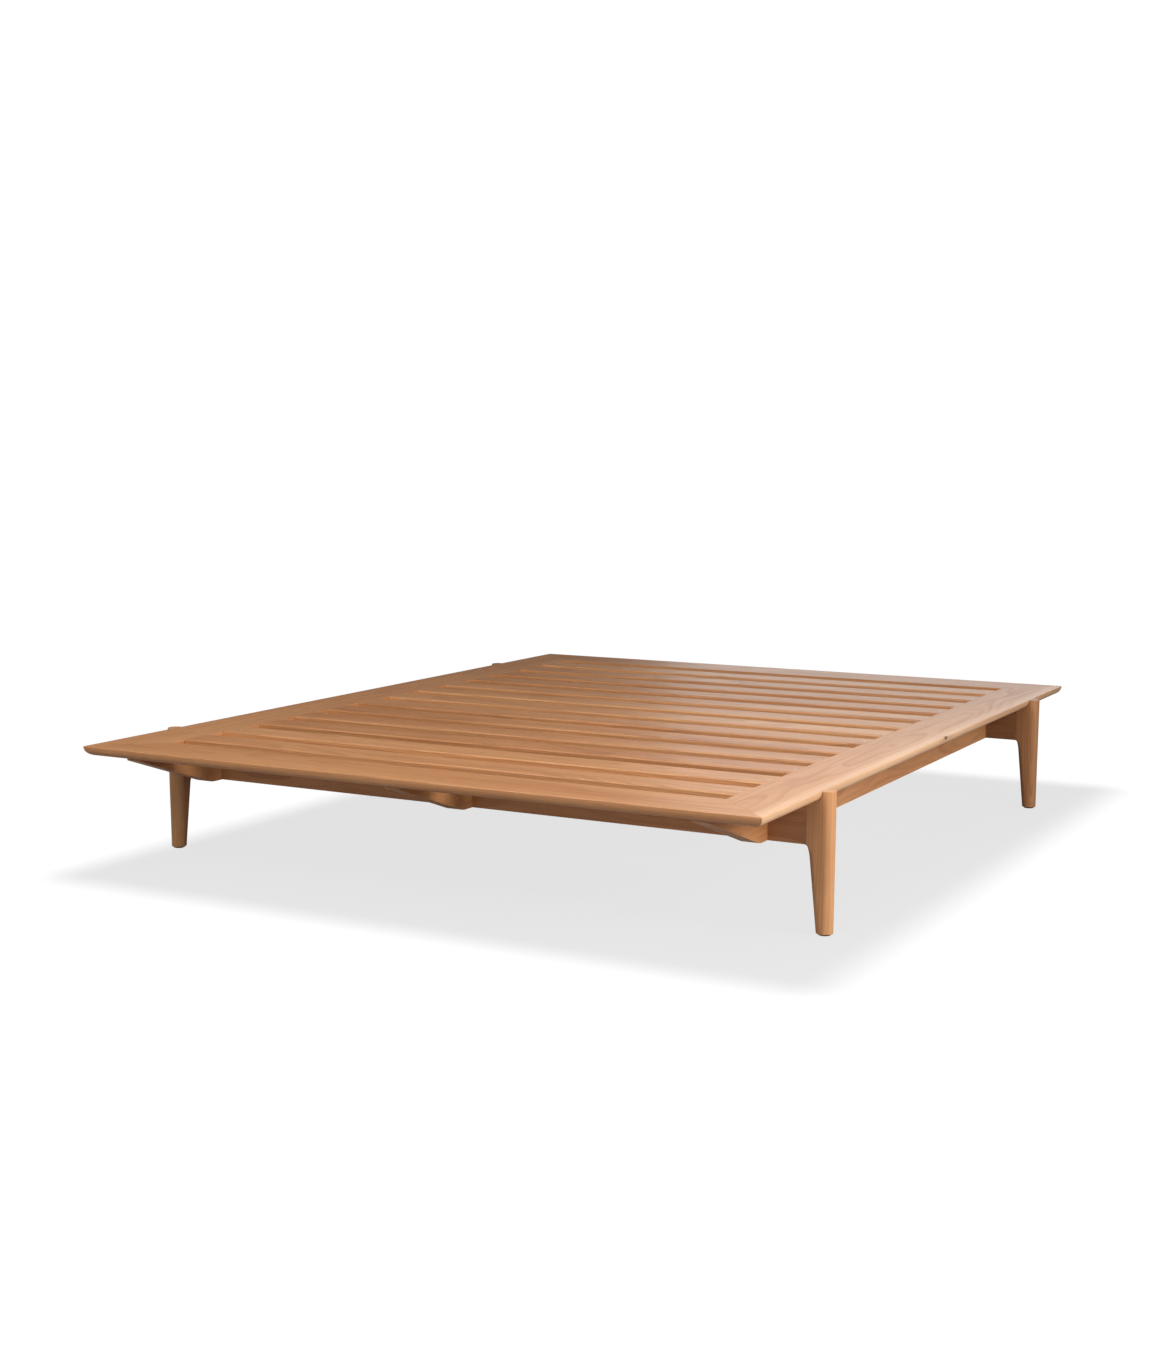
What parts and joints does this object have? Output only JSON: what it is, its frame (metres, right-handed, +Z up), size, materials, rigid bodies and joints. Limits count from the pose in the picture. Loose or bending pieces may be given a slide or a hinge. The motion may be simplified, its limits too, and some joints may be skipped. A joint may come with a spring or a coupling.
{
  "type": "platform bed frame",
  "caption": "Low wooden platform bed frame with a wide mitred deck border, slats, tapered long rails lapped over cross beams, and round-edged tapering legs that rise outside the deck.",
  "frame": {"origin": "on the floor under the middle of the bed", "axes": "+Z up; +Y towards the head of the bed, along its length; +X to the right-hand side seen from the foot"},
  "size_m": [1.7248, 2.126, 0.296],
  "materials": {
    "cherry_deck": "oiled cherry, satin, grain along each board",
    "cherry_underframe": "oiled cherry, satin, slightly deeper tone",
    "cherry_legs": "oiled cherry, satin, upright grain",
    "slat_wood": "sanded cherry sapwood, matt",
    "tenon_wood": "compressed beech",
    "zinc_steel": "bright zinc plate",
    "insert_brass": "plain turned",
    "glide_nylon": "dark brown moulded nylon"
  },
  "bodies": {
    "root": {"right_deck_board": "cherry_deck", "left_deck_board": "cherry_deck", "head_deck_board": "cherry_deck", "foot_deck_board": "cherry_deck", "mitre_tenon_foot_left": "tenon_wood", "mitre_tenon_foot_right": "tenon_wood", "mitre_tenon_head_left": "tenon_wood", "mitre_tenon_head_right": "tenon_wood", "slat_01": "slat_wood", "slat_02": "slat_wood", "slat_03": "slat_wood", "slat_04": "slat_wood", "slat_05": "slat_wood", "slat_06": "slat_wood", "slat_07": "slat_wood", "slat_08": "slat_wood", "slat_09": "slat_wood", "slat_10": "slat_wood", "slat_11": "slat_wood", "slat_12": "slat_wood", "slat_13": "slat_wood", "left_rail": "cherry_underframe", "centre_rail": "cherry_underframe", "right_rail": "cherry_underframe", "foot_cross_beam": "cherry_underframe", "head_cross_beam": "cherry_underframe", "lap_bolt_foot_left": "zinc_steel", "lap_insert_foot_left": "insert_brass", "lap_bolt_foot_centre": "zinc_steel", "lap_insert_foot_centre": "insert_brass", "lap_bolt_foot_right": "zinc_steel", "lap_insert_foot_right": "insert_brass", "lap_bolt_head_left": "zinc_steel", "lap_insert_head_left": "insert_brass", "lap_bolt_head_centre": "zinc_steel", "lap_insert_head_centre": "insert_brass", "lap_bolt_head_right": "zinc_steel", "lap_insert_head_right": "insert_brass", "end_screw_foot_left": "zinc_steel", "end_screw_foot_centre": "zinc_steel", "end_screw_foot_right": "zinc_steel", "end_screw_head_left": "zinc_steel", "end_screw_head_centre": "zinc_steel", "end_screw_head_right": "zinc_steel", "side_screw_left_1": "zinc_steel", "side_screw_left_2": "zinc_steel", "side_screw_left_3": "zinc_steel", "side_screw_right_1": "zinc_steel", "side_screw_right_2": "zinc_steel", "side_screw_right_3": "zinc_steel", "leg_foot_left": "cherry_legs", "leg_foot_right": "cherry_legs", "leg_head_left": "cherry_legs", "leg_head_right": "cherry_legs", "glide_foot_left": "glide_nylon", "glide_foot_right": "glide_nylon", "glide_head_left": "glide_nylon", "glide_head_right": "glide_nylon"}
  },
  "joints": []
}
